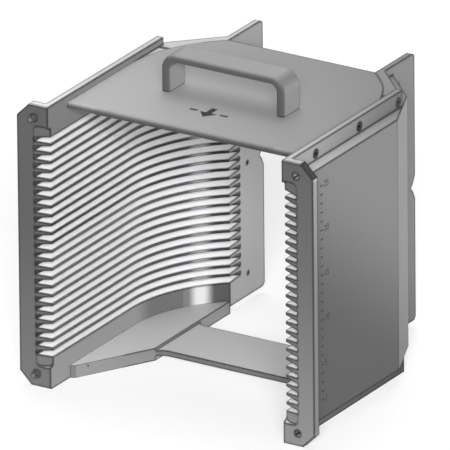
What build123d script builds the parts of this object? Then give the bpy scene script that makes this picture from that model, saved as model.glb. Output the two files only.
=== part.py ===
from build123d import *
import os
from math import cos, radians, sin, sqrt, tan

# A carrier for wafers 200 mm across. Two machined side walls face each other with rows of
# slots. A top plate with a lifting handle and an H-shaped base hold them apart, and
# flat-head screws through the walls' rails hold both. All sizes are in millimetres.
# +Z is up, the loading side faces -Y and the walls stand at -X and +X. In plan, depths are
# measured back from the loading face, and reaches are measured out from the middle.

# Wafer slots, which narrow evenly towards the root, between teeth that thin towards the tip
slot_count = 25
slot_pitch = 6.35
slot_root_radius = 101.6
tooth_depth = 11.1
tooth_root_height = 3.95
tooth_tip_height = 1.9
wafer_centre_depth = 102.5

# Side walls
wall_height = 201.6
wall_depth = 217.0
post_thickness = 6.0
post_flange = 9.6
post_chamfer = 9.4
post_edge_round = 1.2
rail_thickness = 4.8
rail_length = 145.5
panel_wall = 3.2
panel_ledge = 11.4
panel_bend = 22.5
lead_in_depth = 3.7
lead_in_inset = 15.0
lead_in_corner_round = 3.5

# Wings at the rear, which are also the feet when the carrier lies on its back
wing_reach = 57.0
wing_thickness = 4.2
wing_inset = 5.0
wing_root_round = 4.0
wing_corner_round = 3.5
wing_hole_radius = 1.35
wing_hole_setback = 21.0
wing_hole_spacing = 79.6
notch_width = 16.8
notch_shoulder_depth = 2.6
notch_throat_width = 6.0
notch_depth = 5.2

# Locating pins in the left wall, and their holes in the right wall
pin_shank_radius = 2.45
pin_nose_radius = 2.2
pin_reach = 101.3
pin_inset = 9.4
pin_stand_out = 4.6
pin_neck = 1.0
pin_end_chamfer = 0.6
pin_hole_clearance = 0.15
pin_press_gap = 0.01

# Top plate
rail_lip = 4.6
top_plate_thickness = 4.5
nose_round = 2.6
nose_lower_round = 1.2
bridge_setback = 24.3
seat_gap = 0.05

# Base, with a lobe along each wall and a thinner crossbar
lobe_thickness = 9.0
lobe_stub = 2.6
lobe_slant = 60.0
lobe_front_round = 4.0
crossbar_thickness = 4.0
crossbar_drop = 1.9
crossbar_front_depth = 82.0
crossbar_width = 49.4
crossbar_front_round = 10.0
crossbar_rear_round = 5.0

# Handle
handle_span = 95.4
handle_width = 21.3
handle_height = 27.0
handle_front_depth = 73.2
leg_thickness = 6.4
grip_thickness = 5.6
handle_outer_round = 10.8
handle_inner_round = 5.0
handle_edge_round = 2.4

# Flat-head socket screws
screw_radius = 1.5
screw_head_radius = 3.15
socket_width = 2.0
socket_depth = 1.2
screw_hole_clearance = 0.2
countersink_clearance = 0.05
thread_gap = 0.04
tapping_run_out = 2.8
wall_screw_grip = 5.2
front_screw_depth = 35.2
middle_screw_depth = 90.4
rear_screw_depth = 140.0
handle_screw_grip = 7.5
handle_screw_spacing = 11.0

# Places that follow from the sizes
cut_margin = 2.0
front = -(wall_depth - pin_stand_out) / 2
inner_reach = slot_root_radius - tooth_depth
rail_reach = inner_reach + rail_thickness
panel_reach = slot_root_radius + panel_wall
post_reach = panel_reach + post_flange
wing_outer = wing_reach + wing_thickness
bay_end_depth = wafer_centre_depth + sqrt(inner_reach**2 - wing_reach**2)
middle_height = wall_height / 2
top_plate_top = wall_height - rail_lip
top_plate_bottom = top_plate_top - top_plate_thickness
screw_inset = rail_lip + top_plate_thickness / 2
lowest_slot = middle_height - slot_pitch * (slot_count - 1) / 2
slot_heights = [lowest_slot + slot_pitch * step for step in range(slot_count)]
slot_mouth = slot_pitch - tooth_tip_height
slot_root = slot_pitch - tooth_root_height
wall_screw_depths = {"front": front_screw_depth, "middle": middle_screw_depth, "rear": rear_screw_depth}
wall_screw_heights = {"upper": wall_height - screw_inset, "lower": screw_inset}
sides = {"left": -1, "right": 1}


def level(height):
    """A horizontal plane whose origin is the middle of the loading face."""
    return Plane((0, front, height))


def forward(reach, depth, height):
    """A plane facing the loading side, with its origin at the given point."""
    return Plane((reach, front + depth, height), x_dir=(1, 0, 0), z_dir=(0, -1, 0))


def outward(side, reach, depth, height):
    """A plane facing outwards at one side, with its origin at the given point."""
    return Plane((side * reach, front + depth, height), z_dir=(side, 0, 0))


def bay_face_reach(depth):
    """How far out a wall's inner face lies at a depth: straight, then on the wafer's arc."""
    behind_centre = max(0.0, depth - wafer_centre_depth)
    return sqrt(inner_reach**2 - behind_centre**2)


def wall_screw_length(depth):
    """The wall's thickness at a depth, and the grip beyond it."""
    return rail_reach - bay_face_reach(depth) + wall_screw_grip


def wall_plan(outer_edge):
    """One layer of the right wall in plan, with its wing and the wafer's arc."""
    with BuildSketch() as plan:
        with BuildLine():
            Polyline(
                (inner_reach, 0),
                *outer_edge,
                (wing_outer, wall_depth),
                (wing_reach, wall_depth),
                (wing_reach, wafer_centre_depth),
                (inner_reach, wafer_centre_depth),
                close=True,
            )
        make_face()
        wing_root = plan.vertices().sort_by_distance(Vector(*outer_edge[-1]))[0]
        fillet(wing_root, radius=wing_root_round)
        with Locations((0, wafer_centre_depth)):
            Circle(inner_reach, mode=Mode.SUBTRACT)
    return plan.sketch


def bay_plan(gap):
    """The space between the walls in plan, taken in by a gap."""
    with BuildSketch() as plan:
        Rectangle(2 * (inner_reach - gap), wafer_centre_depth, align=(Align.CENTER, Align.MIN))
        with Locations((0, wafer_centre_depth)):
            Circle(inner_reach - gap)
    return plan.sketch


def screw_blank(length):
    """A flat-head screw along its own axis, with the top of its head at the origin."""
    with BuildPart() as screw:
        with BuildSketch(Plane.XZ):
            with BuildLine():
                Polyline(
                    (0, 0),
                    (screw_head_radius, 0),
                    (screw_radius, screw_radius - screw_head_radius),
                    (screw_radius, -length),
                    (0, -length),
                    close=True,
                )
            make_face()
        revolve(axis=Axis.Z)
        with BuildSketch():
            RegularPolygon(radius=socket_width / 2, side_count=6, major_radius=False)
        extrude(amount=-socket_depth, mode=Mode.SUBTRACT)
    return screw.part


# The rail ends square, and the layer below it runs on at 45 degrees to the wing
shoulder_edge = [
    (rail_reach, 0),
    (rail_reach, rail_length),
    (wing_outer, rail_length + rail_reach - wing_outer),
]

# The panel's faces are sides of a regular polygon around the wafer, just outside the slots
panel_corner = panel_reach / cos(radians(panel_bend / 2))
first_bend = radians(panel_bend / 2)
second_bend = radians(panel_bend * 3 / 2)
panel_end_depth = wafer_centre_depth + (
    panel_reach - wing_outer * cos(radians(2 * panel_bend))
) / sin(radians(2 * panel_bend))
panel_edge = [
    (panel_reach, 0),
    (panel_reach, wafer_centre_depth + panel_corner * sin(first_bend)),
    (panel_corner * cos(second_bend), wafer_centre_depth + panel_corner * sin(second_bend)),
    (wing_outer, panel_end_depth),
]

# Section of one slot, with its middle at height 0
with BuildSketch() as slot_section:
    with BuildLine():
        Polyline(
            (inner_reach - cut_margin, slot_mouth / 2),
            (inner_reach, slot_mouth / 2),
            (slot_root_radius, slot_root / 2),
            (slot_root_radius, -slot_root / 2),
            (inner_reach, -slot_mouth / 2),
            (inner_reach - cut_margin, -slot_mouth / 2),
            close=True,
        )
    make_face()

# The wall before the holes that differ from side to side, modelled as the right one
with BuildPart() as wall_blank:
    with BuildSketch(level(wing_inset)):
        add(wall_plan(shoulder_edge))
    extrude(amount=wall_height - 2 * wing_inset)

    # Wing: rounded rear corners, and a stepped notch in the middle of the rear edge
    rear_corners = wall_blank.edges().filter_by(Axis.X).group_by(Axis.Y)[-1]
    fillet(rear_corners, radius=wing_corner_round)
    with BuildSketch(Plane((0, front + wall_depth, middle_height), x_dir=(0, 1, 0), z_dir=(1, 0, 0))):
        with BuildLine():
            Polyline(
                (cut_margin, -notch_width / 2),
                (0, -notch_width / 2),
                (-notch_shoulder_depth, -notch_throat_width / 2),
                (-notch_depth, 0),
                (-notch_shoulder_depth, notch_throat_width / 2),
                (0, notch_width / 2),
                (cut_margin, notch_width / 2),
                close=True,
            )
        make_face()
    extrude(amount=wing_outer + cut_margin, mode=Mode.SUBTRACT)

    # Panel: the thick middle layer that carries the slots
    with BuildSketch(level(panel_ledge)):
        add(wall_plan(panel_edge))
        with Locations((0, wall_depth)):
            Rectangle(
                2 * post_reach,
                wall_depth - panel_end_depth - wing_root_round,
                align=(Align.CENTER, Align.MAX),
                mode=Mode.SUBTRACT,
            )
    extrude(amount=wall_height - 2 * panel_ledge)

    # Front post and rails, over the whole height
    with BuildSketch(level(0)):
        with BuildLine():
            Polyline(
                (inner_reach, 0),
                (post_reach, 0),
                (post_reach, post_thickness),
                (rail_reach, post_thickness),
                (rail_reach, rail_length),
                (inner_reach, rail_length),
                close=True,
            )
        make_face()
    extrude(amount=wall_height)
    post_corners = wall_blank.edges().filter_by(Axis.Y).group_by(Axis.X)[-1]
    chamfer(post_corners, length=post_chamfer)
    post_ends = wall_blank.edges().filter_by(Axis.X).group_by(Axis.Y)[0].group_by(Axis.Z)
    fillet(post_ends[0] + post_ends[-1], radius=post_edge_round)

    # Slots: straight from the loading face to the wafer's centre, then round it
    with BuildSketch(forward(0, wafer_centre_depth, 0)) as slots:
        with Locations(*[(0, height) for height in slot_heights]):
            add(slot_section.sketch)
    extrude(amount=wafer_centre_depth + cut_margin, mode=Mode.SUBTRACT)
    revolve(
        slots.sketch,
        axis=Axis((0, front + wafer_centre_depth, 0), (0, 0, 1)),
        revolution_arc=3 * panel_bend,
        mode=Mode.SUBTRACT,
    )

    # Lead-in: a shallow slanting pocket down the inner edge of the post
    with BuildSketch(
        Plane(
            (slot_root_radius, front, middle_height),
            x_dir=(-tooth_depth, lead_in_depth, 0),
            z_dir=(-lead_in_depth, -tooth_depth, 0),
        )
    ):
        RectangleRounded(
            sqrt(tooth_depth**2 + lead_in_depth**2),
            wall_height - 2 * lead_in_inset,
            lead_in_corner_round,
            align=(Align.MIN, Align.CENTER),
        )
    extrude(amount=lead_in_depth + cut_margin, mode=Mode.SUBTRACT)

    # Holes in the wing, and countersunk ones through both rails
    wing_hole_depth = wall_depth - wing_hole_setback
    with Locations(
        *[
            outward(1, wing_outer, wing_hole_depth, middle_height + step * wing_hole_spacing)
            for step in (-1, 0, 1)
        ]
    ):
        Hole(radius=wing_hole_radius, depth=wing_thickness)
    with Locations(
        *[
            outward(1, rail_reach, depth, height)
            for depth in wall_screw_depths.values()
            for height in wall_screw_heights.values()
        ]
    ):
        CounterSinkHole(
            radius=screw_radius + screw_hole_clearance,
            counter_sink_radius=screw_head_radius + countersink_clearance,
            counter_sink_angle=90,
        )

pin_heights = {"lower": pin_inset, "upper": wall_height - pin_inset}

with BuildPart() as right_side_wall:
    add(wall_blank.part)
    with Locations(*[forward(pin_reach, 0, height) for height in pin_heights.values()]):
        Hole(radius=pin_nose_radius + pin_hole_clearance, depth=post_thickness)
right_side_wall.part.label = "right_side_wall"

with BuildPart() as left_side_wall:
    mirror(wall_blank.part, about=Plane.YZ)
    with Locations(*[forward(-pin_reach, 0, height) for height in pin_heights.values()]):
        Hole(radius=pin_shank_radius + pin_press_gap, depth=post_thickness)
left_side_wall.part.label = "left_side_wall"

# Top plate between the walls, with a rounded nose at the loading side
handle_middle_depth = handle_front_depth + handle_width / 2
leg_reach = (handle_span - leg_thickness) / 2
handle_screw_places = [
    (side * leg_reach, handle_middle_depth + shift * handle_screw_spacing / 2)
    for side in sides.values()
    for shift in (-1, 1)
]

with BuildPart() as top_plate:
    with BuildSketch(level(top_plate_bottom)):
        add(bay_plan(seat_gap))
        with Locations((0, bridge_setback)):
            Rectangle(
                2 * inner_reach,
                bay_end_depth - bridge_setback,
                align=(Align.CENTER, Align.MIN),
                mode=Mode.INTERSECT,
            )
    extrude(amount=top_plate_thickness)
    nose = top_plate.edges().filter_by(Axis.X).group_by(Axis.Y)[0]
    fillet(nose.sort_by(Axis.Z)[-1], radius=nose_round)
    nose = top_plate.edges().filter_by(Axis.X).group_by(Axis.Z)[0]
    fillet(nose.sort_by(Axis.Y)[0], radius=nose_lower_round)
    for depth in wall_screw_depths.values():
        with Locations(
            *[
                outward(side, rail_reach, depth, wall_screw_heights["upper"])
                for side in sides.values()
            ]
        ):
            Hole(radius=screw_radius + thread_gap, depth=wall_screw_length(depth) + tapping_run_out)
    with Locations(
        *[
            Plane((reach, front + depth, top_plate_bottom), z_dir=(0, 0, -1))
            for reach, depth in handle_screw_places
        ]
    ):
        CounterSinkHole(
            radius=screw_radius + screw_hole_clearance,
            counter_sink_radius=screw_head_radius + countersink_clearance,
            depth=top_plate_thickness,
            counter_sink_angle=90,
        )
top_plate.part.label = "top_plate"

# Base: an H in plan, whose lobes fill the walls' inner faces. Its middle is milled down from
# both sides to leave the crossbar.
stub_reach = inner_reach - lobe_stub
knee_reach = stub_reach - (crossbar_front_depth - bridge_setback) / tan(radians(lobe_slant))
crossbar_rear_depth = crossbar_front_depth + crossbar_width

with BuildSketch() as h_plan:
    with BuildLine():
        Polyline(
            (0, crossbar_front_depth),
            (knee_reach, crossbar_front_depth),
            (stub_reach, bridge_setback),
            (inner_reach, bridge_setback),
            (inner_reach, bay_end_depth),
            (wing_reach, bay_end_depth),
            (wing_reach, crossbar_rear_depth),
            (0, crossbar_rear_depth),
            close=True,
        )
    make_face()
    for corner, radius in (
        ((knee_reach, crossbar_front_depth), crossbar_front_round),
        ((stub_reach, bridge_setback), lobe_front_round),
        ((wing_reach, crossbar_rear_depth), crossbar_rear_round),
    ):
        fillet(h_plan.vertices().sort_by_distance(Vector(*corner))[0], radius=radius)
    mirror(about=Plane.YZ)
    add(bay_plan(seat_gap), mode=Mode.INTERSECT)

with BuildPart() as h_bar_base:
    with BuildSketch(level(0)):
        add(h_plan.sketch)
    extrude(amount=lobe_thickness)
    for face_height, inward, cut in (
        (lobe_thickness, -1, crossbar_drop),
        (0, 1, lobe_thickness - crossbar_drop - crossbar_thickness),
    ):
        with BuildSketch(level(face_height)):
            Rectangle(2 * wing_reach, wall_depth, align=(Align.CENTER, Align.MIN))
        extrude(amount=inward * cut, mode=Mode.SUBTRACT)
    for depth in wall_screw_depths.values():
        with Locations(
            *[
                outward(side, rail_reach, depth, wall_screw_heights["lower"])
                for side in sides.values()
            ]
        ):
            Hole(radius=screw_radius + thread_gap, depth=wall_screw_length(depth) + tapping_run_out)
h_bar_base.part.label = "h_bar_base"

# Handle: a flat bar bent to a U, its long edges rounded, with tapped holes up into its legs
with BuildSketch() as handle_bend:
    Rectangle(handle_span, handle_height, align=(Align.CENTER, Align.MIN))
    fillet(handle_bend.vertices().group_by(Axis.Y)[-1], radius=handle_outer_round)

with BuildSketch() as finger_gap:
    Rectangle(
        handle_span - 2 * leg_thickness,
        handle_height - grip_thickness,
        align=(Align.CENTER, Align.MIN),
    )
    fillet(finger_gap.vertices().group_by(Axis.Y)[-1], radius=handle_inner_round)

with BuildPart() as handle:
    with BuildSketch(forward(0, handle_front_depth, top_plate_top)):
        add(handle_bend.sketch)
        add(finger_gap.sketch, mode=Mode.SUBTRACT)
    extrude(amount=-handle_width)
    handle_edges = handle.faces().filter_by(Axis.Y).edges()
    fillet(handle_edges - handle_edges.group_by(Axis.Z)[0], radius=handle_edge_round)
    with Locations(
        *[
            Plane((reach, front + depth, top_plate_top), z_dir=(0, 0, -1))
            for reach, depth in handle_screw_places
        ]
    ):
        Hole(radius=screw_radius + thread_gap, depth=handle_screw_grip + screw_radius)
handle.part.label = "handle"

os.makedirs("parts", exist_ok=True)
export_step(right_side_wall.part, "parts/right_side_wall.step")
export_step(left_side_wall.part, "parts/left_side_wall.step")
export_step(top_plate.part, "parts/top_plate.step")
export_step(h_bar_base.part, "parts/h_bar_base.step")
export_step(handle.part, "parts/handle.step")

# Locating pins, pressed into the left post, each with a thinner nose that stands out of it
with BuildPart() as pin_blank:
    with BuildSketch(Plane.XZ):
        with BuildLine():
            Polyline(
                (0, -post_thickness),
                (pin_shank_radius, -post_thickness),
                (pin_shank_radius, 0),
                (pin_nose_radius, pin_neck),
                (pin_nose_radius, pin_stand_out),
                (0, pin_stand_out),
                close=True,
            )
        nose_face = make_face()
        nose_end = nose_face.vertices().group_by(Axis.Y)[-1].sort_by(Axis.X)[-1]
        chamfer(nose_end, length=pin_end_chamfer)
    revolve(axis=Axis.Z)

for end, height in pin_heights.items():
    with BuildPart() as locating_pin:
        with Locations(forward(-pin_reach, 0, height)):
            add(pin_blank.part)
    locating_pin.part.label = f"{end}_locating_pin"
    export_step(locating_pin.part, f"parts/{end}_locating_pin.step")

# Wall screws: each spans the wall at its place and grips the plate or the base behind it
for row, depth in wall_screw_depths.items():
    wall_screw_blank = screw_blank(wall_screw_length(depth))
    for side, direction in sides.items():
        for end, height in wall_screw_heights.items():
            with BuildPart() as wall_screw:
                with Locations(outward(direction, rail_reach, depth, height)):
                    add(wall_screw_blank)
            wall_screw.part.label = f"{side}_{end}_{row}_screw"
            export_step(wall_screw.part, f"parts/{side}_{end}_{row}_screw.step")

# Handle screws, up through the top plate into the legs
handle_screw_blank = screw_blank(top_plate_thickness + handle_screw_grip)
for number, (reach, depth) in enumerate(handle_screw_places, start=1):
    with BuildPart() as handle_screw:
        with Locations(Plane((reach, front + depth, top_plate_bottom), z_dir=(0, 0, -1))):
            add(handle_screw_blank)
    handle_screw.part.label = f"handle_screw_{number}"
    export_step(handle_screw.part, f"parts/handle_screw_{number}.step")
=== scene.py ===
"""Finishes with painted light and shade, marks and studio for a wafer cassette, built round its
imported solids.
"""

import math

import bmesh
import bpy
from bpy.props import FloatProperty, FloatVectorProperty, PointerProperty
from mathutils import Matrix, Vector


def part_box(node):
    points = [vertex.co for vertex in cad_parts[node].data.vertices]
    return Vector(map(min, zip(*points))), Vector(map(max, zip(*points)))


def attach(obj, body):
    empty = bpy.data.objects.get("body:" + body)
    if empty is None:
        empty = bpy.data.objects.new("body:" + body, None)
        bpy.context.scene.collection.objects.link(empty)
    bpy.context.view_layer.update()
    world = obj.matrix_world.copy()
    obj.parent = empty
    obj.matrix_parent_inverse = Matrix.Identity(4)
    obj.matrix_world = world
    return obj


bl_info = {
    "name": "Wafer Cassette",
    "version": (1, 0, 0),
    "blender": (4, 5, 0),
    "location": "View3D > Sidebar > Cassette",
    "description": "A machined aluminium cassette for 25 wafers, and its studio",
    "category": "Object",
}

MM = 0.001

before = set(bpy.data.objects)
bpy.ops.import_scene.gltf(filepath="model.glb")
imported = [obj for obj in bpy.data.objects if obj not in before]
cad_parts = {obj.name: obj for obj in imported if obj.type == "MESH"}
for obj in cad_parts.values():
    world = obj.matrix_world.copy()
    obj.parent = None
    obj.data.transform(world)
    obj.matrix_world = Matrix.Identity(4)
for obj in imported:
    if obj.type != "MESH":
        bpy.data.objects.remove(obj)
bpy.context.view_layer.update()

WALLS = ["left_side_wall", "right_side_wall"]
PINS = ["upper_locating_pin", "lower_locating_pin"]
WALL_SCREWS = [
    f"{side}_{end}_{row}_screw"
    for side in ("left", "right")
    for end in ("upper", "lower")
    for row in ("front", "middle", "rear")
]
HANDLE_SCREWS = [f"handle_screw_{number}" for number in range(1, 5)]

LOADING_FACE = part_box("left_side_wall")[0].y
WALL_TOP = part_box("left_side_wall")[1].z
PLATE_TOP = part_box("top_plate")[1].z
BAY_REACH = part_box("top_plate")[1].x
WAFER_CENTRE_DEPTH = 102.5 * MM
SLOT_ROOT = 101.6 * MM
SLOT_PITCH = 6.35 * MM
SLOT_COUNT = 25
PANEL_FACE = 104.8 * MM
WING_REACH = 57 * MM
PANEL_LEDGE = 11.4 * MM
NUMBERED_SLOTS = (1, 5, 10, 15, 20, 25)

# A face looks along an axis where that part of its normal is larger than this
MOSTLY = 0.5

# How far a wall's zones reach past the faces that they are for, how far out from the panel its
# flanges start, and how wide the teeth's roots are
ZONE_MARGIN = 0.5 * MM
BAY_MARGIN = 0.4 * MM
FLANGE_STEP = 2 * MM
ROOT_WIDTH = 1.5 * MM

# Painted shade: the wings' inner faces grow darker over the first of these pairs of heights. Painted
# sheen: the panels grow lighter over the second, which holds at one depth and lies lower behind it.
WING_DUSK_HEIGHTS = (130 * MM, 170 * MM)
SHEEN_HEIGHTS = (55 * MM, 175 * MM)
SHEEN_DEPTH = 60 * MM
SHEEN_LEAN = 0.7

# How light a wall's zones are, as light and shade painted in zone by zone. A fade is for each metre
# of depth, and a pair is for the left and the right wall.
PANEL_FOOT_SHADE = 0.42
INNER_SHADE = 1.2
BAND_SHARE = 0.8
WING_DUSK = 0.6
FLANGE_SHADE = 0.55
REAR_SHADE = 0.4
FRONT_FOOT_SHADES = (0.125, 0.215)
RAIL_FRONT_SHADE = 1.8
RAIL_REAR_SHADE = 0.6
RAIL_FADE = 8.0
TOP_SHADES = (1.5, 1.04)
TOP_FRONT_SHADE = 1.35
TOP_REAR_SHADES = (1.0, 0.6)
TOP_FADE = 5.0

# The bay's wall past the wafers' centres, by how far it has turned inwards: where each painted shade
# starts and ends and how much it takes, and the middle, spread and soft edge of a painted reflection
BAY_DUSK = ((0.02, 0.25, 0.5), (0.6, 0.66, 0.25))
REFLECTION_TURN = 0.616
REFLECTION_SPREAD = 0.085
REFLECTION_EDGE = 0.8

# A painted slope of light across a piece: how much lighter it grows in a metre, to the right and
# rearwards
PLATE_PAINTED_SLOPE = (-2.0, -1.8)
BASE_PAINTED_SLOPE = (0.0, -3.0)

# The lay of the tool marks: how each axis is stretched. They run along those with small numbers.
LAY_ACROSS = (0.03, 1, 1)
LAY_OF_HANDLE = (0.03, 1, 0.03)
LAY_OF_STEEL = (1, 8, 1)
ARC_SQUEEZE = 0.02

# Lumps of texture in a metre, and how rough the noise is that makes them
CLOUDS = 14
STEEL_CLOUDS = 160
STEEL_MARKS = 2500
SPECKLES = 3000
NOISE_ROUGHNESS = 0.55

# How light a texture is in itself, and how far each part of it changes the shade
SHEET_LIGHTNESS = 0.97
WALL_LIGHTNESS = 0.98
STEEL_LIGHTNESS = 0.96
LAY_SWING = 0.04
GRAIN_SWING = 0.05
CLOUD_SWING = 0.05
ARC_SWING = 0.03
STEEL_MARK_SWING = 0.12
STEEL_CLOUD_SWING = 0.1
SPECKLE_SWING = 0.6

# How far each part changes the roughness, and how much of the relief it makes
GRAIN_DULLING = 0.06
CLOUD_DULLING = 0.1
STEEL_DULLING = 0.12
SPECKLE_DULLING = 0.2
GRAIN_RELIEF = 0.6
LAY_RELIEF = 0.4

# A dark line painted along every edge: how strong it is, how finely an edge's radius is sampled, and
# the steel's share of the broken edges' radius
EDGE_CONTRAST = 60
EDGE_SAMPLES = 6
STEEL_EDGE_SHARE = 0.4

# The arrow's neck and the length of its head, as shares of its width
NECK_SHARE = 1 / 6
HEAD_SHARE = 0.6

# The studio: the sides that the lamps shine from, half the floor's width, how far the floor lies
# below the cassette, how it looks, and the camera's far limit over its distance
WHITE = (1, 1, 1, 1)
KEY_SIDE = (0.5, -0.77, 0.395)
TOP_SIDE = (-0.2, 0.3, 0.93)
FLOOR_REACH = 20
FLOOR_DROP = 0.2 * MM
FLOOR_GLOW = 0.55
FLOOR_SHADE = 0.5
CLIP_FACTOR = 10


def length(name, description, default):
    """A size in metres, given in millimetres."""
    return FloatProperty(
        name=name, description=description, default=default * MM, unit="LENGTH", precision=5
    )


def share(name, description, default):
    """A number from 0 to 1."""
    return FloatProperty(
        name=name, description=description, default=default, min=0, max=1, subtype="FACTOR"
    )


def colour(name, description, default):
    """A colour, given as linear red, green and blue."""
    return FloatVectorProperty(
        name=name, description=description, default=default, min=0, max=1, size=3, subtype="COLOR"
    )


def angle(name, description, default):
    """An angle in radians, given in degrees."""
    return FloatProperty(
        name=name, description=description, default=math.radians(default), subtype="ANGLE"
    )


def facings(name, default):
    """Painted light and shade: how light a piece's faces are, by the way that they look."""
    return FloatVectorProperty(
        name=name,
        description="Lightness of the faces that look sideways, to the front or rear, and up or down",
        default=default,
        min=0,
        max=1,
        size=3,
        subtype="XYZ",
    )


class CassetteFinish(bpy.types.PropertyGroup):
    """Colours and textures of the metals and the engraving, and the light and shade painted into them
    """

    aluminium_colour: colour("Aluminium", "Bare aluminium at its lightest", (0.97, 0.97, 0.98))
    screw_colour: colour("Screws", "Blackened steel of the screws", (0.06, 0.06, 0.061))
    pin_colour: colour("Pins", "Turned steel of the locating pins", (0.2, 0.2, 0.2))
    ink_colour: colour("Marks", "Dark engraving", (0.006, 0.006, 0.007))
    # Light and shade painted into each piece by the way its faces look
    wall_facings: facings("Walls", (0.275, 0.1, 0.43))
    plate_facings: facings("Top plate", (0.33, 0.09, 0.46))
    base_facings: facings("Base", (0.62, 0.23, 0.97))
    handle_facings: facings("Handle", (0.38, 0.105, 0.37))
    # The teeth: near white as a milled finish and as painted light, with painted shade along their
    # roots
    tooth_shade: share("Teeth", "How light the milled faces of the teeth are", 0.97)
    tooth_root_shade: share("Tooth roots", "The same along the rounded roots of the teeth", 0.3)
    # A painted reflection
    streak_shade: share("Streak", "How light the streak is where the bay turns inwards", 0.78)
    # Painted shade on the bevels
    bevel_shade: share("Bevels", "How light the bevels at the posts' ends are", 0.04)
    metal_share: share("Metal share", "How much of the aluminium's finish is bare metal", 0.28)
    tooth_metal_share: share("Tooth metal share", "The same for the milled faces of the teeth", 0.0)
    steel_metal_share: share("Steel metal share", "The same for the screws and pins", 0.5)
    blasted_roughness: share("Blasted roughness", "Roughness of the blasted faces", 0.62)
    milled_roughness: share("Milled roughness", "Roughness of the milled faces", 0.45)
    screw_roughness: share("Screw roughness", "Roughness of the screws", 0.42)
    pin_roughness: share("Pin roughness", "Roughness of the locating pins", 0.4)
    ink_roughness: share("Mark roughness", "Roughness of the engraving", 0.55)
    grain_size: length("Grain", "Size of the blasted grain", 0.35)
    grain_height: length("Grain height", "Height of the blasted grain", 0.01)
    tool_pitch: length("Tool marks", "Spacing of the milling marks", 0.45)
    steel_mark_height: length("Steel marks", "Height of the tool marks on the steel", 0.004)
    ink_grain_height: length("Mark grain", "Height of the grain in the engraving", 0.01)
    ink_edge_radius: length("Mark edges", "Radius of the engraving's edges", 0.05)
    edge_radius: length("Edge radius", "Radius of the broken edges", 0.4)
    wall_edge_width: length("Wall edges", "Reach of the dark line along a wall's edges", 2.2)
    plate_edge_width: length("Plate edges", "The same for the top plate and the base", 0.68)
    open_edge_width: length("Open edges", "The same for the plate and base away from the walls", 1.7)
    open_edge_reach: length("Open edges end", "How far from the middle that holds", 69)
    handle_edge_width: length("Handle edges", "The same for the handle", 1.4)
    screw_edge_width: length("Screw edges", "The same for the screws and pins", 1.3)
    # Painted shade at the bends
    bend_shade: share("Bends", "How much darker the faces are that look half sideways", 0.45)
    edge_shade: share("Edge shade", "How much darker the line along an edge is", 0.85)


class CassetteMarks(bpy.types.PropertyGroup):
    """Plain engraved marks"""

    arrow_length: length("Arrow length", "From the arrow's tail to its point", 16)
    arrow_width: length("Arrow width", "Across the arrow's head", 13)
    arrow_depth: length("Arrow place", "How far the arrow's middle is from the loading face", 56)
    bar_length: length("Bar length", "Length of the bar at each side of the arrow", 6)
    bar_width: length("Bar width", "Width of those bars", 2.2)
    tick_length: length("Tick length", "Length of the mark at each slot", 3.0)
    tick_width: length("Tick width", "Width of the mark at each slot", 1.0)
    digit_height: length("Number height", "Height of the slot numbers", 6.5)
    digit_gap: length("Number gap", "Between a slot's mark and its number", 1.2)
    scale_depth: length("Scale place", "How far the slot marks are from the loading face", 25)
    mark_height: length("Mark height", "How far a mark's fill stands off the metal", 0.03)


class CassetteStudio(bpy.types.PropertyGroup):
    """Floor, light and camera"""

    floor_colour: colour("Floor", "Pale floor", (1.0, 1.0, 1.0))
    bounce_colour: colour("Bounce", "The floor as it lights the object", (0.4, 0.4, 0.4))
    key_strength: FloatProperty(name="Key", description="Strength of the front light", default=4.3)
    top_strength: FloatProperty(name="Top", description="Strength of the top light", default=1.2)
    key_softness: angle("Key softness", "Angle that the front light fills", 24)
    top_softness: angle("Top softness", "Angle that the top light fills", 40)
    ambient: share("Ambient", "Light from all round", 0.18)
    azimuth: angle("Azimuth", "Camera's turn to the right", 31.78)
    elevation: angle("Elevation", "Camera's height", 22.26)
    roll: angle("Roll", "Camera's tilt", -0.52)
    picture_width: length("Picture width", "What the picture spans at the object", 297.83)
    target_height: length("Target height", "Height of the picture's middle", 110.29)
    target_depth: length("Target depth", "From the loading face to the picture's middle", 75.03)
    lens: FloatProperty(name="Lens", description="Focal length", default=1700, unit="CAMERA")


class Signal:
    """A socket in a material's tree, whose arithmetic adds Math nodes."""

    def __init__(self, surface, socket):
        self.surface = surface
        self.socket = socket

    def math(self, operation, *operands):
        """A Math node with the given operation and operands."""
        return self.surface.node(
            "ShaderNodeMath", {"operation": operation}, dict(enumerate(operands))
        )

    def __add__(self, other):
        return self.math("ADD", self, other)

    def __radd__(self, other):
        return self.math("ADD", other, self)

    def __sub__(self, other):
        return self.math("SUBTRACT", self, other)

    def __rsub__(self, other):
        return self.math("SUBTRACT", other, self)

    def __mul__(self, other):
        return self.math("MULTIPLY", self, other)

    def __rmul__(self, other):
        return self.math("MULTIPLY", other, self)

    def __truediv__(self, other):
        return self.math("DIVIDE", self, other)

    def __rtruediv__(self, other):
        return self.math("DIVIDE", other, self)

    def __pow__(self, other):
        return self.math("POWER", self, other)

    def __rpow__(self, other):
        return self.math("POWER", other, self)

    def __gt__(self, other):
        return self.math("GREATER_THAN", self, other)

    def __lt__(self, other):
        return self.math("LESS_THAN", self, other)

    def __abs__(self):
        return self.math("ABSOLUTE", self)

    def at_least(self, other):
        """The larger of this value and another."""
        return self.math("MAXIMUM", self, other)

    def clamped(self):
        """The value, held between 0 and 1."""
        return self.surface.node("ShaderNodeClamp", {}, {0: self})

    def swing(self, amount):
        """A change of up to half the amount each way, while the value goes from 0 to 1."""
        return amount * (self - 0.5)

    def between(self, low, high):
        """1 where the value lies between two others, and 0 elsewhere."""
        return (self > low) * (self < high)

    def eased(self, low, high):
        """A smooth rise from 0 to 1 while the value goes from low to high."""
        return self.surface.node(
            "ShaderNodeMapRange",
            {"interpolation_type": "SMOOTHSTEP"},
            {"Value": self, "From Min": low, "From Max": high},
        )

    def blend(self, first, second):
        """The first of two others where this value is 0, and the second where it is 1."""
        return first + (second - first) * self


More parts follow.
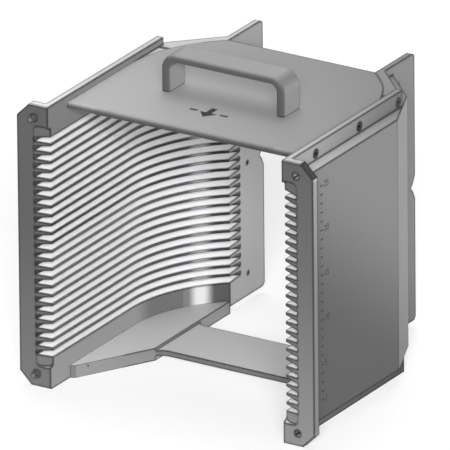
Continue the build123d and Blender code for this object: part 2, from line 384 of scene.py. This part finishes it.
class Surface:
    """A shader tree under construction, for a material or for the world."""

    def __init__(self, tree):
        self.tree = tree
        tree.nodes.clear()

    def node(self, kind, settings, inputs, output=0):
        """Adds a node, sets it up, then fills or links its sockets."""
        made = self.tree.nodes.new(kind)
        for name, value in settings.items():
            setattr(made, name, value)
        for key, value in inputs.items():
            if isinstance(value, Signal):
                self.tree.links.new(value.socket, made.inputs[key])
            else:
                made.inputs[key].default_value = value
        return Signal(self, made.outputs[output]) if made.outputs else None

    def place(self):
        """Where a point is on the object, in metres in the row frame."""
        return self.node("ShaderNodeTexCoord", {}, {}, output="Object")

    def part(self, vector, axis):
        """One part of a vector."""
        return self.node("ShaderNodeSeparateXYZ", {}, {0: vector}, output=axis)

    def split(self, vector):
        """The three parts of a vector."""
        return [self.part(vector, axis) for axis in "XYZ"]

    def joined(self, x, y, z):
        """A vector of three parts."""
        return self.node("ShaderNodeCombineXYZ", {}, {0: x, 1: y, 2: z})

    def noise(self, place, scale, detail=2.0):
        """Noise from 0 to 1 at a place, with the given number of lumps in a metre."""
        return self.node(
            "ShaderNodeTexNoise",
            {"noise_dimensions": "3D"},
            {"Vector": place, "Scale": scale, "Detail": detail, "Roughness": NOISE_ROUGHNESS},
        )

    def vector_math(self, operation, inputs, output="Vector"):
        """A Vector Math node with the given operation and sockets."""
        return self.node("ShaderNodeVectorMath", {"operation": operation}, inputs, output)

    def stretched(self, place, factors):
        """A place with each direction stretched by its own factor."""
        return self.vector_math("MULTIPLY", {0: place, 1: factors})

    def facing(self):
        """Which way the face looks."""
        return self.node("ShaderNodeNewGeometry", {}, {}, output="Normal")

    def by_facing(self, shades):
        """Painted light and shade: one of three shades, for faces that look sideways, to the front or
        rear, and up or down. A slanted face gets a shade between them."""
        squares = self.vector_math("MULTIPLY", {0: self.facing(), 1: self.facing()})
        return self.vector_math("DOT_PRODUCT", {0: squares, 1: tuple(shades)}, "Value")

    def tinted(self, tone, shade):
        """A colour made lighter or darker by a number."""
        return self.vector_math("SCALE", {0: tuple(tone), "Scale": shade})

    def bevelled(self, radius):
        """The normal of a surface whose edges are broken by a radius."""
        return self.node("ShaderNodeBevel", {"samples": EDGE_SAMPLES}, {"Radius": radius})

    def edge(self, radius):
        """0 on a flat face, rising to 1 towards its sharp edges."""
        inputs = {0: self.facing(), 1: self.bevelled(radius)}
        together = self.vector_math("DOT_PRODUCT", inputs, "Value")
        return ((1 - together) * EDGE_CONTRAST).clamped()

    def bump(self, height, distance, normal):
        """A normal with relief: a height from 0 to 1, and how far 1 stands out."""
        return self.node(
            "ShaderNodeBump", {}, {"Height": height, "Distance": distance, "Normal": normal}
        )

    def finish(self, shader):
        """Closes a material's tree with its shader."""
        self.node("ShaderNodeOutputMaterial", {}, {"Surface": shader})


def rgba(tone):
    """A colour with full alpha."""
    return (*tone, 1)


def material(name):
    """A new material and its empty tree."""
    made = bpy.data.materials.new(name)
    made.use_nodes = True
    return made, Surface(made.node_tree)


def metal_shader(surface, tone, roughness, normal, metallic):
    """A surface that is partly bare metal."""
    return surface.node(
        "ShaderNodeBsdfPrincipled",
        {},
        {"Base Color": tone, "Roughness": roughness, "Metallic": metallic, "Normal": normal},
    )


def aluminium(name, shades, lay_axes, edge_width, open_width=0, slope=(0, 0)):
    """Blasted aluminium with faint tool marks, cloudy handling and darker edges, and with light and
    shade painted in by the way its faces look, by a slope across the piece and on half-sideways
    faces.
    """
    look = bpy.context.scene.cassette_finish
    made, surface = material(name)
    place = surface.place()
    x, y = surface.part(place, "X"), surface.part(place, "Y")
    side = surface.part(surface.facing(), "X")
    grain = surface.noise(place, 1 / look.grain_size, detail=3.0)
    lay = surface.noise(surface.stretched(place, lay_axes), 1 / look.tool_pitch)
    cloud = surface.noise(place, CLOUDS, detail=3.0)
    edge = surface.edge(edge_width)
    if open_width:
        edge = edge.at_least(surface.edge(open_width) * (abs(x) < look.open_edge_reach))
    # Painted shade on faces that look halfway sideways: 1 there, and 0 on those that look fully so or
    # not at all
    bend = 4 * side * side * (1 - side * side)
    painted_slope_shade = 1 + slope[0] * x + slope[1] * (y - LOADING_FACE)
    texture = (
        SHEET_LIGHTNESS + lay.swing(LAY_SWING) + grain.swing(GRAIN_SWING) + cloud.swing(CLOUD_SWING)
    )
    shade = surface.by_facing(shades) * painted_slope_shade * texture
    shade = shade * (1 - look.edge_shade * edge) * (1 - look.bend_shade * bend)
    roughness = look.blasted_roughness + grain.swing(GRAIN_DULLING) + cloud.swing(CLOUD_DULLING)
    relief = grain * GRAIN_RELIEF + lay * LAY_RELIEF
    normal = surface.bump(relief, look.grain_height, surface.bevelled(look.edge_radius))
    tinted = surface.tinted(look.aluminium_colour, shade)
    surface.finish(metal_shader(surface, tinted, roughness, normal, look.metal_share))
    return made


def wall_shade(surface, x, depth, z):
    """Gives the light and shade painted into a wall zone by zone, before its texture; where its
    milled teeth are; and the distance from the path that the wafers' centres take."""
    look = bpy.context.scene.cassette_finish
    side, rearward, upright = surface.split(surface.facing())
    # The light and shade painted in by the way the faces look
    plain = surface.by_facing(look.wall_facings)
    level = abs(upright) > MOSTLY
    aside = abs(side) > MOSTLY
    on_right = x > 0

    # The milled teeth between the slots, near white as a milled finish and as painted light, and
    #     painted shade along their roots
    behind = (depth - WAFER_CENTRE_DEPTH).at_least(0.0)
    reach = (x * x + behind * behind) ** 0.5
    stack = z.between(PANEL_LEDGE + MM, WALL_TOP - PANEL_LEDGE - MM)
    toothed = level * (reach < SLOT_ROOT + ZONE_MARGIN) * stack
    rooted = reach > SLOT_ROOT - ROOT_WIDTH
    milled = (toothed * rooted).blend(look.tooth_shade, look.tooth_root_shade)

    # The upright faces, with painted light and shade: inside, the wings lighter and darker towards
    #     their tops, and the bay's lower half lighter; outside, the panel lighter towards its rear
    #     top, the flanges lighter, and the rails lighter at the front than the rear; faces that look
    #     rearwards lighter; and the front lighter towards its foot
    bay = (1 - level) * (reach < BAY_REACH + BAY_MARGIN)
    wing = (abs(x) < WING_REACH + ZONE_MARGIN) * (1 - WING_DUSK * z.eased(*WING_DUSK_HEIGHTS))
    inner = wing + BAND_SHARE * bay * (z < WALL_TOP / 2)
    flange = (abs(x) > PANEL_FACE + FLANGE_STEP) * aside
    ledge = abs(z - WALL_TOP / 2) > WALL_TOP / 2 - PANEL_LEDGE
    rail = ledge * (abs(x) > BAY_REACH + MM) * aside
    rail_shade = rail.blend(1.0, (RAIL_FRONT_SHADE - RAIL_FADE * depth).at_least(RAIL_REAR_SHADE))
    painted_sheen = (z + SHEEN_LEAN * (depth - SHEEN_DEPTH)).eased(*SHEEN_HEIGHTS)
    panel_shade = painted_sheen.blend(PANEL_FOOT_SHADE, 1.0) * rail_shade
    outer = plain * (panel_shade + INNER_SHADE * inner + FLANGE_SHADE * flange)
    outer = (1 - level) * (outer + REAR_SHADE * rearward.at_least(0.0))
    front = (rearward < -MOSTLY) * (1 - z / WALL_TOP) * on_right.blend(*FRONT_FOOT_SHADES)

    # The bay's wall where it turns inwards: painted shade, and a painted reflection as a bright band
    turn = behind / BAY_REACH
    bay_painted_shade = sum(amount * turn.eased(start, end) for start, end, amount in BAY_DUSK) * bay
    painted_reflection_band = (1 - abs(turn - REFLECTION_TURN) / REFLECTION_SPREAD).eased(0.0, REFLECTION_EDGE) * bay

    # The level faces, with painted light that fades rearwards and differs between the walls, and
    #     painted shade on the bevels at the posts' ends
    fading = (TOP_FRONT_SHADE - TOP_FADE * depth).at_least(on_right.blend(*TOP_REAR_SHADES))
    top = plain * on_right.blend(*TOP_SHADES) * fading
    flat = level * aside.blend(top, look.bevel_shade)
    shade = toothed.blend((outer + front) * (1 - bay_painted_shade) + flat, milled)
    return painted_reflection_band.blend(shade, look.streak_shade), toothed, reach


def wall_aluminium():
    """A wall's finish: blasted outside, and milled where the teeth between the slots are, with light
    and shade painted in zone by zone.
    """
    look = bpy.context.scene.cassette_finish
    made, surface = material("wall_aluminium")
    place = surface.place()
    x, y, z = surface.split(place)
    shade, toothed, reach = wall_shade(surface, x, y - LOADING_FACE, z)

    arcs = surface.noise(surface.joined(reach, z * ARC_SQUEEZE, 0.0), 1 / look.tool_pitch)
    grain = surface.noise(place, 1 / look.grain_size, detail=3.0)
    cloud = surface.noise(place, CLOUDS, detail=3.0)
    edge = surface.edge(look.wall_edge_width)
    texture = (
        WALL_LIGHTNESS
        + grain.swing(GRAIN_SWING)
        + cloud.swing(CLOUD_SWING)
        + toothed * arcs.swing(ARC_SWING)
    )
    shade = shade * texture * (1 - look.edge_shade * edge)
    roughness = toothed.blend(look.blasted_roughness, look.milled_roughness)
    roughness = roughness + cloud.swing(CLOUD_DULLING)
    relief = toothed.blend(grain * GRAIN_RELIEF, arcs)
    normal = surface.bump(relief, look.grain_height, surface.bevelled(look.edge_radius))
    tinted = surface.tinted(look.aluminium_colour, shade)
    metallic = toothed.blend(look.metal_share, look.tooth_metal_share)
    surface.finish(metal_shader(surface, tinted, roughness, normal, metallic))
    return made


def steel(name, tone, roughness):
    """Turned steel, with fine tool marks and darker edges."""
    look = bpy.context.scene.cassette_finish
    made, surface = material(name)
    place = surface.place()
    marks = surface.noise(surface.stretched(place, LAY_OF_STEEL), STEEL_MARKS)
    cloud = surface.noise(place, STEEL_CLOUDS)
    edge = surface.edge(look.screw_edge_width)
    texture = STEEL_LIGHTNESS + marks.swing(STEEL_MARK_SWING) + cloud.swing(STEEL_CLOUD_SWING)
    tinted = surface.tinted(tone, texture * (1 - look.edge_shade * edge))
    bevelled = surface.bevelled(look.edge_radius * STEEL_EDGE_SHARE)
    normal = surface.bump(marks, look.steel_mark_height, bevelled)
    dulled = roughness + cloud.swing(STEEL_DULLING)
    surface.finish(metal_shader(surface, tinted, dulled, normal, look.steel_metal_share))
    return made


def engraving():
    """Dark, slightly uneven fill of an engraved mark."""
    look = bpy.context.scene.cassette_finish
    made, surface = material("engraving")
    speckle = surface.noise(surface.place(), SPECKLES)
    tinted = surface.tinted(look.ink_colour, 1 + speckle.swing(SPECKLE_SWING))
    normal = surface.bump(speckle, look.ink_grain_height, surface.bevelled(look.ink_edge_radius))
    roughness = look.ink_roughness + speckle.swing(SPECKLE_DULLING)
    surface.finish(metal_shader(surface, tinted, roughness, normal, 0.0))
    return made


def dress(names, finish):
    """Gives CAD nodes one material."""
    for name in names:
        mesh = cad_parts[name].data
        mesh.materials.clear()
        mesh.materials.append(finish)


def add_mark(name, outlines, to_object, finish):
    """A thin closed plate for each outline, half sunk into the object's face."""
    height = bpy.context.scene.cassette_marks.mark_height
    shape = bmesh.new()
    for outline in outlines:
        corners = [shape.verts.new((x, y, -height)) for x, y in outline]
        base = shape.faces.new(corners)
        raised = bmesh.ops.extrude_face_region(shape, geom=[base])
        moved = [item for item in raised["geom"] if isinstance(item, bmesh.types.BMVert)]
        bmesh.ops.translate(shape, verts=moved, vec=(0, 0, 2 * height))
    bmesh.ops.recalc_face_normals(shape, faces=shape.faces)
    shape.transform(to_object)
    mesh = bpy.data.meshes.new(name)
    shape.to_mesh(mesh)
    shape.free()
    mesh.materials.append(finish)
    piece = bpy.data.objects.new(name, mesh)
    bpy.context.scene.collection.objects.link(piece)
    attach(piece, "root")


def rectangle(left, bottom, right, top):
    """The corners of a rectangle."""
    return [(left, bottom), (right, bottom), (right, top), (left, top)]


def add_number(name, number, side, height, to_object, finish):
    """A slot's number behind its mark, a little proud of the metal."""
    marks = bpy.context.scene.cassette_marks
    digits = bpy.data.curves.new(name, "FONT")
    digits.body = str(number)
    digits.size = marks.digit_height
    digits.extrude = marks.mark_height
    digits.align_x = "LEFT" if side > 0 else "RIGHT"
    digits.align_y = "CENTER"
    digits.materials.append(finish)
    piece = bpy.data.objects.new(name, digits)
    offset = Matrix.Translation((side * (marks.tick_length + marks.digit_gap), height, 0))
    piece.matrix_world = to_object @ offset
    bpy.context.scene.collection.objects.link(piece)
    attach(piece, "root")


class CASSETTE_OT_walls(bpy.types.Operator):
    """Finish the two slotted side walls"""

    bl_idname = "cassette.walls"
    bl_label = "Side walls"

    def execute(self, context):
        dress(WALLS, wall_aluminium())
        return {"FINISHED"}


class CASSETTE_OT_plate(bpy.types.Operator):
    """Finish the top plate"""

    bl_idname = "cassette.plate"
    bl_label = "Top plate"

    def execute(self, context):
        look = context.scene.cassette_finish
        finish = aluminium(
            "plate_aluminium",
            look.plate_facings,
            LAY_ACROSS,
            look.plate_edge_width,
            look.open_edge_width,
            PLATE_PAINTED_SLOPE,
        )
        dress(["top_plate"], finish)
        return {"FINISHED"}


class CASSETTE_OT_base(bpy.types.Operator):
    """Finish the H-shaped base"""

    bl_idname = "cassette.base"
    bl_label = "Base"

    def execute(self, context):
        look = context.scene.cassette_finish
        finish = aluminium(
            "base_aluminium",
            look.base_facings,
            LAY_ACROSS,
            look.plate_edge_width,
            look.open_edge_width,
            BASE_PAINTED_SLOPE,
        )
        dress(["h_bar_base"], finish)
        return {"FINISHED"}


class CASSETTE_OT_handle(bpy.types.Operator):
    """Finish the lifting handle"""

    bl_idname = "cassette.handle"
    bl_label = "Handle"

    def execute(self, context):
        look = context.scene.cassette_finish
        finish = aluminium(
            "handle_aluminium", look.handle_facings, LAY_OF_HANDLE, look.handle_edge_width
        )
        dress(["handle"], finish)
        return {"FINISHED"}


class CASSETTE_OT_pins(bpy.types.Operator):
    """Finish the two locating pins"""

    bl_idname = "cassette.pins"
    bl_label = "Locating pins"

    def execute(self, context):
        look = context.scene.cassette_finish
        dress(PINS, steel("pin_steel", look.pin_colour, look.pin_roughness))
        return {"FINISHED"}


class CASSETTE_OT_screws(bpy.types.Operator):
    """Finish the wall and handle screws"""

    bl_idname = "cassette.screws"
    bl_label = "Screws"

    def execute(self, context):
        look = context.scene.cassette_finish
        finish = steel("screw_steel", look.screw_colour, look.screw_roughness)
        dress(WALL_SCREWS + HANDLE_SCREWS, finish)
        return {"FINISHED"}


class CASSETTE_OT_arrow(bpy.types.Operator):
    """Engrave a plain arrow that points to the loading side"""

    bl_idname = "cassette.arrow"
    bl_label = "Arrow"

    def execute(self, context):
        marks = context.scene.cassette_marks
        half, neck = marks.arrow_width / 2, marks.arrow_width * NECK_SHARE
        tip, tail = -marks.arrow_length / 2, marks.arrow_length / 2
        barb = tip + marks.arrow_width * HEAD_SHARE
        outline = [
            (0, tip),
            (half, barb),
            (neck, barb),
            (neck, tail),
            (-neck, tail),
            (-neck, barb),
            (-half, barb),
        ]
        near, half_bar = half + marks.bar_width, marks.bar_width / 2
        bar = rectangle(near, -half_bar, near + marks.bar_length, half_bar)
        bars = [[(side * x, y) for x, y in bar] for side in (-1, 1)]
        at = Matrix.Translation((0, LOADING_FACE + marks.arrow_depth, PLATE_TOP))
        add_mark("loading_arrow", [outline, *bars], at, engraving())
        return {"FINISHED"}


class CASSETTE_OT_slot_scale(bpy.types.Operator):
    """Engrave a mark at each slot and a number at every fifth on the outside of both walls"""

    bl_idname = "cassette.slot_scale"
    bl_label = "Slot scale"

    def execute(self, context):
        marks = context.scene.cassette_marks
        ink = engraving()
        lowest = WALL_TOP / 2 - SLOT_PITCH * (SLOT_COUNT - 1) / 2
        heights = [lowest + SLOT_PITCH * step for step in range(SLOT_COUNT)]
        half = marks.tick_width / 2
        for wall, side in (("left", -1), ("right", 1)):
            start, end = sorted((0, side * marks.tick_length))
            # Drawn as seen from outside: x runs rearwards on the right, and forwards on the left
            at = Matrix(
                (
                    (0, 0, side, side * PANEL_FACE),
                    (side, 0, 0, LOADING_FACE + marks.scale_depth),
                    (0, 1, 0, 0),
                    (0, 0, 0, 1),
                )
            )
            ticks = [rectangle(start, height - half, end, height + half) for height in heights]
            add_mark(f"{wall}_slot_marks", ticks, at, ink)
            for number in NUMBERED_SLOTS:
                name = f"{wall}_slot_number_{number}"
                add_number(name, number, side, heights[number - 1], at, ink)
        return {"FINISHED"}


class CASSETTE_OT_studio(bpy.types.Operator):
    """Set up the floor, the light and the camera"""

    bl_idname = "cassette.studio"
    bl_label = "Studio"

    def execute(self, context):
        studio = context.scene.cassette_studio
        add_floor(studio)
        light_world(studio)
        add_light("key", studio.key_strength, studio.key_softness, KEY_SIDE)
        add_light("top", studio.top_strength, studio.top_softness, TOP_SIDE)
        add_camera(studio)
        context.scene.view_settings.view_transform = "Standard"
        return {"FINISHED"}


def seen_rays(surface):
    """1 for what the camera, gloss and clear surfaces see, and 0 for what lights the object."""
    camera, gloss, clear = (
        surface.node("ShaderNodeLightPath", {}, {}, output=kind)
        for kind in ("Is Camera Ray", "Is Glossy Ray", "Is Transmission Ray")
    )
    return (camera + gloss + clear).clamped()


def add_floor(studio):
    """A pale floor that keeps the object's shadow."""
    made, surface = material("floor")
    seen = seen_rays(surface)
    glow = surface.node("ShaderNodeEmission", {}, {"Color": WHITE, "Strength": FLOOR_GLOW})
    tone = [FLOOR_SHADE * part for part in studio.floor_colour]
    shaded = surface.node("ShaderNodeBsdfDiffuse", {}, {"Color": rgba(tone)})
    pale = surface.node("ShaderNodeAddShader", {}, {0: glow, 1: shaded})
    bounce = surface.node("ShaderNodeBsdfDiffuse", {}, {"Color": rgba(studio.bounce_colour)})
    surface.finish(surface.node("ShaderNodeMixShader", {}, {0: seen, 1: bounce, 2: pale}))

    shape = bmesh.new()
    bmesh.ops.create_grid(shape, x_segments=1, y_segments=1, size=FLOOR_REACH)
    mesh = bpy.data.meshes.new("floor")
    shape.to_mesh(mesh)
    shape.free()
    mesh.materials.append(made)
    floor = bpy.data.objects.new("floor", mesh)
    floor.location.z = -FLOOR_DROP
    bpy.context.scene.collection.objects.link(floor)


def light_world(studio):
    """White where it is seen, and dim where it lights the object."""
    world = bpy.data.worlds.new("studio")
    world.use_nodes = True
    bpy.context.scene.world = world
    surface = Surface(world.node_tree)
    seen = seen_rays(surface)
    strength = studio.ambient + (1 - studio.ambient) * seen
    light = surface.node("ShaderNodeBackground", {}, {"Color": WHITE, "Strength": strength})
    surface.node("ShaderNodeOutputWorld", {}, {"Surface": light})


def add_light(name, strength, softness, towards):
    """A wide soft light that comes from one side. Gloss doesn't show it, so that no face glares."""
    lamp = bpy.data.lights.new(name, "SUN")
    lamp.energy = strength
    lamp.angle = softness
    light = bpy.data.objects.new(name, lamp)
    light.rotation_mode = "QUATERNION"
    light.rotation_quaternion = Vector(towards).to_track_quat("Z", "Y")
    light.visible_glossy = False
    bpy.context.scene.collection.objects.link(light)


def add_camera(studio):
    """A long lens at the picture's angle."""
    back = Vector(
        (
            math.sin(studio.azimuth) * math.cos(studio.elevation),
            -math.cos(studio.azimuth) * math.cos(studio.elevation),
            math.sin(studio.elevation),
        )
    )
    target = Vector((0, LOADING_FACE + studio.target_depth, studio.target_height))
    lens = bpy.data.cameras.new("camera")
    lens.lens = studio.lens
    distance = studio.picture_width * studio.lens / lens.sensor_width
    lens.clip_end = CLIP_FACTOR * distance
    camera = bpy.data.objects.new("camera", lens)
    camera.location = target + distance * back
    camera.rotation_mode = "QUATERNION"
    aim = (-back).to_track_quat("-Z", "Y")
    camera.rotation_quaternion = aim @ Matrix.Rotation(studio.roll, 3, "Z").to_quaternion()
    bpy.context.scene.collection.objects.link(camera)
    bpy.context.scene.camera = camera


OPERATORS = (
    CASSETTE_OT_walls,
    CASSETTE_OT_plate,
    CASSETTE_OT_base,
    CASSETTE_OT_handle,
    CASSETTE_OT_pins,
    CASSETTE_OT_screws,
    CASSETTE_OT_arrow,
    CASSETTE_OT_slot_scale,
    CASSETTE_OT_studio,
)


class CASSETTE_PT_sidebar(bpy.types.Panel):
    """Lists the pieces and the values that can be changed"""

    bl_idname = "CASSETTE_PT_sidebar"
    bl_label = "Wafer Cassette"
    bl_space_type = "VIEW_3D"
    bl_region_type = "UI"
    bl_category = "Cassette"

    def draw(self, context):
        for operator in OPERATORS:
            self.layout.operator(operator.bl_idname)
        scene = context.scene
        for group in (scene.cassette_finish, scene.cassette_marks, scene.cassette_studio):
            box = self.layout.box()
            for name in group.bl_rna.properties.keys():
                if name not in ("rna_type", "name"):
                    box.prop(group, name)


CLASSES = (CassetteFinish, CassetteMarks, CassetteStudio, *OPERATORS, CASSETTE_PT_sidebar)


def register():
    for made in CLASSES:
        bpy.utils.register_class(made)
    bpy.types.Scene.cassette_finish = PointerProperty(type=CassetteFinish)
    bpy.types.Scene.cassette_marks = PointerProperty(type=CassetteMarks)
    bpy.types.Scene.cassette_studio = PointerProperty(type=CassetteStudio)


def unregister():
    del bpy.types.Scene.cassette_finish
    del bpy.types.Scene.cassette_marks
    del bpy.types.Scene.cassette_studio
    for made in reversed(CLASSES):
        bpy.utils.unregister_class(made)


def main():
    """Runs every operator in order."""
    register()
    for operator in OPERATORS:
        group, name = operator.bl_idname.split(".")
        getattr(getattr(bpy.ops, group), name)()


if __name__ == "__main__":
    main()
